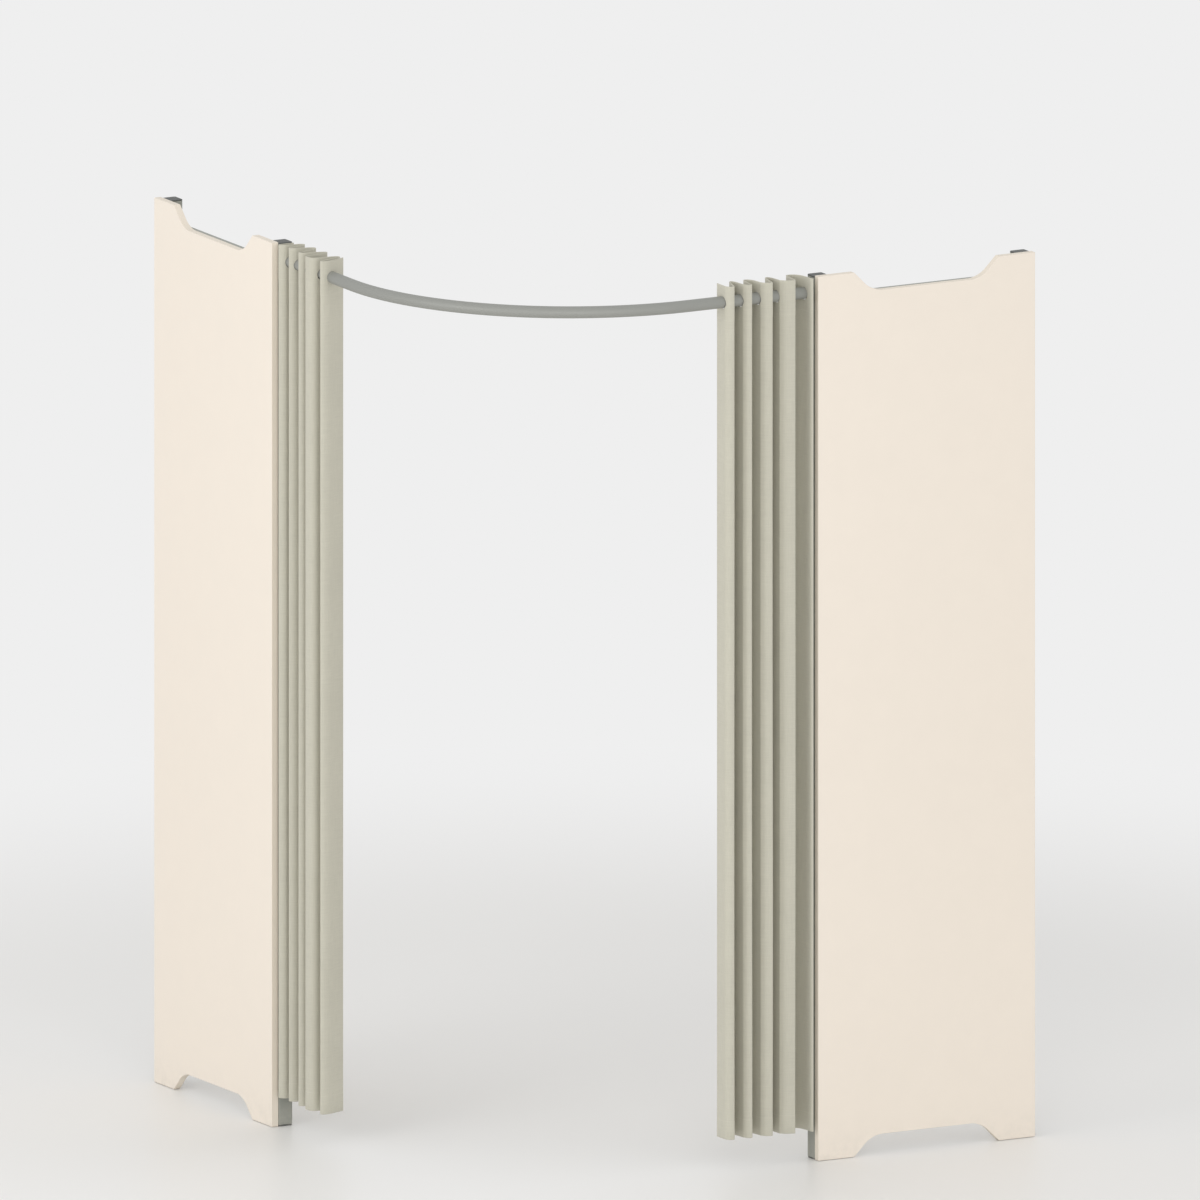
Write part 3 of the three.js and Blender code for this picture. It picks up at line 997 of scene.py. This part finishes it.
# Each knot of a line is its s and n in mm, the line's heading there in degrees, and the reach of the
# curve before and after it in mm. The heading is 0 along the rail and 90 outwards. A fold ends at each
# knot on the room side. A fold's start weight is the share of its own motion that its first edge makes,
# so that the edge stays with the fold before it.
curtains = {
    "left": {
        "knots": [
            (9, -17, 70, 0, 8), (14.5, 25.5, -22, 11, 5), (26, 14, -68, 8, 6), (38, -31, 0, 14, 8),
            (61, 21.5, -26, 14, 4), (71, 9, -72, 7, 8), (87, -35, 0, 14, 14),
            (116, 26, -10, 10, 5), (128, 16, -74, 8, 7), (143, -36, 0, 10, 10),
            (164, 33, -15, 9, 7), (191, 18, -75, 16, 8), (204, -38, 0, 12, 10),
            (231, 28.5, 0, 12, 5), (235.5, 8, -102, 8, 12), (217, -41, -112, 16, 0),
        ],
        "startWeights": [0, 0.5567, 0.6868, 0.7782, 0.793],
    },
    "right": {
        "knots": [
            (12.5, 36, -8, 0, 3), (16.5, 32, -72, 3, 3), (17, 20, -88, 5, 30), (50, -31, 0, 26, 6),
            (61, 31, -4, 5, 10), (90, 19, -50, 12, 3), (94, 13, -86, 3, 26), (108, -31, 0, 11, 6),
            (124, 31, -6, 5, 8), (144, 19, -56, 10, 3), (147, 13, -86, 3, 26), (168, -31, 0, 17, 6),
            (180, 29, -6, 5, 6), (193, 18, -64, 7, 2), (195, 13, -86, 3, 26), (207, -31, 0, 10, 6),
            (228, 27, -4, 6, 6), (242, 18, -62, 7, 2), (244, 12, -90, 2, 10), (244, -28, -92, 12, 0),
        ],
        "startWeights": [0, 0.2972, 0.5986, 0.7178, 0.767],
    },
}


def bezier(points, t):
    a, b, c, d = points
    r = 1 - t
    return a * r ** 3 + b * (3 * r * r * t) + c * (3 * r * t * t) + d * t ** 3


def foldLegs(knots):
    for here, there in zip(knots, knots[1:]):
        start, end = Vector(here[:2]) * mm, Vector(there[:2]) * mm
        out, back = math.radians(here[2]), math.radians(there[2])
        yield (
            start,
            start + Vector((math.cos(out), math.sin(out))) * here[4] * mm,
            end - Vector((math.cos(back), math.sin(back))) * there[3] * mm,
            end,
        )


def headingAt(leg, t):
    probe = cloth["probe"]
    middle = min(max(t, probe), 1 - probe)
    return (bezier(leg, middle + probe) - bezier(leg, middle - probe)).normalized()


def foldLines(knots):
    # The middle line of each fold, as a list of its points with their normals and the length so far
    steps = cloth["columns"]
    folds, current, length = [], [], 0.0
    for i, leg in enumerate(foldLegs(knots)):
        for k in range(0 if not current else 1, steps + 1):
            t = (1 - math.cos(math.pi * k / steps)) / 2
            point = bezier(leg, t)
            heading = headingAt(leg, t)
            # Where two legs meet, both have the heading of the knot
            knot = i + k // steps
            if k in (0, steps) and 0 < knot < len(knots) - 1:
                turned = math.radians(knots[knot][2])
                heading = Vector((math.cos(turned), math.sin(turned)))
            if current:
                length += (point - current[-1]["point"]).length
            normal = Vector((-heading.y, heading.x))
            current.append({"point": point, "normal": normal, "length": length})
        if knots[i + 1][1] < cloth["turnAt"]:
            folds.append(current)
            current = []
    return folds


def evenMarks(start, end, step):
    count = round((end - start) / step)
    return [start + (end - start) * i / count for i in range(1, count + 1)]


def rows():
    low, high, rounding = cloth["low"], cloth["high"], cloth["round"]
    hemTop, headingFoot = low + cloth["hem"], high - cloth["heading"]
    bend = cloth["roundStep"] * rounding
    marks = [low, low + bend, low + rounding, low + cloth["hem"] / 2, hemTop - mm, hemTop + mm]
    marks += evenMarks(hemTop + mm, headingFoot - mm, cloth["rowStep"])
    marks += [headingFoot + mm]
    marks += evenMarks(headingFoot + mm, high - rounding, cloth["holeRowStep"])
    return marks + [high - bend, high]


def smoothStep(low, high, value):
    t = min(max((value - low) / (high - low), 0), 1)
    return t * t * (3 - 2 * t)


def clothPoint(side, s, n, z):
    x, y = postMid - n, freeFace - s
    return (x, y, z) if side == "left" else (y, x, z)


def halfThickness(z, fromEnds):
    # Thicker in the hem and the heading, and rounded off towards the cloth's own edges
    hemTop, headingFoot = cloth["low"] + cloth["hem"], cloth["high"] - cloth["heading"]
    hem = 1 - smoothStep(hemTop - mm, hemTop + mm, z) + smoothStep(headingFoot - mm, headingFoot + mm, z)
    half = (cloth["thickness"] + (cloth["hemThickness"] - cloth["thickness"]) * hem) / 2
    inwards = min(z - cloth["low"], cloth["high"] - z, fromEnds) / cloth["round"]
    return half * (cloth["rimShare"] + (1 - cloth["rimShare"]) * math.sqrt(min(max(inwards, 0), 1)))


def swayAt(u, z, total):
    hang = (cloth["high"] - z) / (cloth["high"] - cloth["low"])
    swell = math.sin(math.pi * (sway["swellFrom"] + u / total * sway["swellSpan"]))
    return sway["reach"] * hang * math.sin(z * sway["byHeight"] + u * sway["byWidth"]) * swell


def foldFaces(rowCount, columns):
    def corner(layer, row, column):
        return (layer * rowCount + row) * columns + column

    faces = []
    topRow, lastColumn = rowCount - 1, columns - 1
    for row in range(topRow):
        for column in range(lastColumn):
            for layer in (0, 1):
                quad = [corner(layer, row, column), corner(layer, row, column + 1),
                        corner(layer, row + 1, column + 1), corner(layer, row + 1, column)]
                faces.append(quad if layer == 0 else quad[::-1])
    for row in range(topRow):
        for column, above, below in ((0, row + 1, row), (lastColumn, row, row + 1)):
            faces.append([corner(0, above, column), corner(1, above, column),
                          corner(1, below, column), corner(0, below, column)])
    for column in range(lastColumn):
        for row, here, there in ((0, column, column + 1), (topRow, column + 1, column)):
            faces.append([corner(0, row, here), corner(1, row, here),
                          corner(1, row, there), corner(0, row, there)])
    return faces


def makeFold(side, index, line, first, last, total):
    name = f"curtain_fold_{index + 1}_{side}"
    levels = rows()
    start, end = line[0]["length"], line[-1]["length"]
    vertices, places = [], []
    for layer in (1, -1):
        for z in levels:
            for spot in line:
                u = spot["length"]
                fromEnds = min(u - start if first else math.inf, end - u if last else math.inf)
                wave = swayAt(u, z, total)
                loose = math.sin(math.pi * (u - start) / (end - start))
                place = spot["point"] + spot["normal"] * halfThickness(z, fromEnds) * layer
                place += Vector((wave * loose, wave * sway["across"]))
                vertices.append(clothPoint(side, place.x, place.y, z))
                places.append((u, z))
    mesh = bpy.data.meshes.new(name)
    mesh.from_pydata(vertices, [], foldFaces(len(levels), len(line)))
    layer = mesh.uv_layers.new(name="cloth")
    for loop in mesh.loops:
        layer.data[loop.index].uv = places[loop.vertex_index]
    fold = bpy.data.objects.new(name, mesh)
    bpy.context.scene.collection.objects.link(fold)
    edit(fold, "FACE")
    bpy.ops.mesh.select_all(action="SELECT")
    bpy.ops.mesh.normals_make_consistent(inside=False)
    objectMode()
    return fold


def cutEyelets(fold, side, reach, slack):
    # The cloth hangs on the rail, so the hole is a little below it, with side slack in the folds that turn
    radius = eyelet["radius"]
    height = railHeight + railRadius + eyelet["play"] - radius
    start, end = clothPoint(side, -radius, 0, height), clothPoint(side, reach + radius, 0, height)
    cutter = addRound(start, end, radius, eyelet["sides"])
    choose(cutter)
    wide = 1 + slack / radius
    scale = (wide, 1, 1) if side == "left" else (1, wide, 1)
    bpy.ops.transform.resize(value=scale, center_override=clothPoint(side, 0, 0, height))
    settlePlace(cutter)
    cutAway(fold, cutter)


def makeCurtain(side, spec):
    folds = foldLines(spec["knots"])
    total = folds[-1][-1]["length"]
    reach = spec["knots"][-1][0] * mm
    for i, line in enumerate(folds):
        fold = makeFold(side, i, line, i == 0, i == len(folds) - 1, total)
        cutEyelets(fold, side, reach, eyelet["slack"] if i in eyelet["turningFolds"] else 0)
        dress(fold, clothFinish)
        choose(fold)
        bpy.ops.object.shade_smooth_by_angle(angle=math.radians(cloth["smoothAngle"]))
        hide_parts(f"{side}_curtain_fold_{i + 1}")
        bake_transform(fold)
    print(side, "curtain made:", round(total, 4), "m of cloth")


clothFinish = clothMaterial(cloth["hem"], cloth["heading"], cloth["low"], cloth["high"])
for side, spec in curtains.items():
    makeCurtain(side, spec)


# Floor, light and background

studio = {
    "background": 0.863,
    "ambient": 0.87,
    "floorColor": paint(233, 232, 230),
    "floorRoughness": 0.4,
    "floorSpecular": 0.35,
    "floorSize": 24.0,
    "fadeFrom": 1.9,
    "fadeTo": 4.2,
    "lampSize": 3.0,
    "lampTarget": (0, 0, 1.1),
}
# One soft lamp faces each board, and shines along the other one
lamps = {
    "left": {"place": (-6.2, -1.4, 3.0), "power": 67.0},
    "front": {"place": (-2.7, -5.8, 2.3), "power": 67.0},
}


def seenPlainly(tree):
    # One for rays from the camera, and for those that it sees by a reflection or through glass
    rays = addNode(tree, "ShaderNodeLightPath").outputs
    turned = calc(tree, "MAXIMUM", rays["Is Glossy Ray"], rays["Is Transmission Ray"])
    return calc(tree, "MAXIMUM", rays["Is Camera Ray"], turned)


def mixShaders(tree, factor, first, second, output):
    mix = addNode(tree, "ShaderNodeMixShader")
    for number, socket in enumerate((factor, first, second)):
        tree.links.new(socket, mix.inputs[number])
    tree.links.new(mix.outputs["Shader"], output.inputs["Surface"])


def makeFloor():
    deselect()
    bpy.ops.mesh.primitive_plane_add(size=studio["floorSize"], location=(0, 0, 0))
    floor = bpy.context.object
    floor.name = "studio_floor"
    made, tree, shader = newMaterial("studio floor")
    shader.inputs["Base Color"].default_value = studio["floorColor"]
    shader.inputs["Roughness"].default_value = studio["floorRoughness"]
    shader.inputs["Specular IOR Level"].default_value = studio["floorSpecular"]
    distance = addNode(tree, "ShaderNodeVectorMath", operation="LENGTH")
    tree.links.new(objectPlace(tree), distance.inputs[0])
    fade = ramp(tree, distance.outputs["Value"], studio["fadeFrom"], studio["fadeTo"])
    glow = addNode(tree, "ShaderNodeEmission", {"Color": (1, 1, 1, 1), "Strength": studio["background"]})
    mixShaders(
        tree, calc(tree, "MULTIPLY", fade, seenPlainly(tree)), shader.outputs["BSDF"],
        glow.outputs["Emission"], tree.nodes["Material Output"],
    )
    dress(floor, made)


def makeWorld():
    world = bpy.data.worlds.new("studio")
    bpy.context.scene.world = world
    world.use_nodes = True
    tree = world.node_tree
    light = tree.nodes["Background"]
    light.inputs["Color"].default_value = (1, 1, 1, 1)
    light.inputs["Strength"].default_value = studio["ambient"]
    backdrop = addNode(tree, "ShaderNodeBackground", {
        "Color": (1, 1, 1, 1), "Strength": studio["background"],
    })
    mixShaders(
        tree, seenPlainly(tree), light.outputs["Background"],
        backdrop.outputs["Background"], tree.nodes["World Output"],
    )


def makeLamp(name, spec):
    data = bpy.data.lights.new(name, "AREA")
    data.shape = "SQUARE"
    data.size = studio["lampSize"]
    data.energy = spec["power"]
    lamp = bpy.data.objects.new(name, data)
    bpy.context.scene.collection.objects.link(lamp)
    lamp.location = spec["place"]
    aim = Vector(studio["lampTarget"]) - lamp.location
    lamp.rotation_euler = aim.to_track_quat("-Z", "Y").to_euler()


makeFloor()
makeWorld()
for name, spec in lamps.items():
    makeLamp(name, spec)
bpy.context.scene.view_settings.view_transform = "Standard"
print("studio lit")
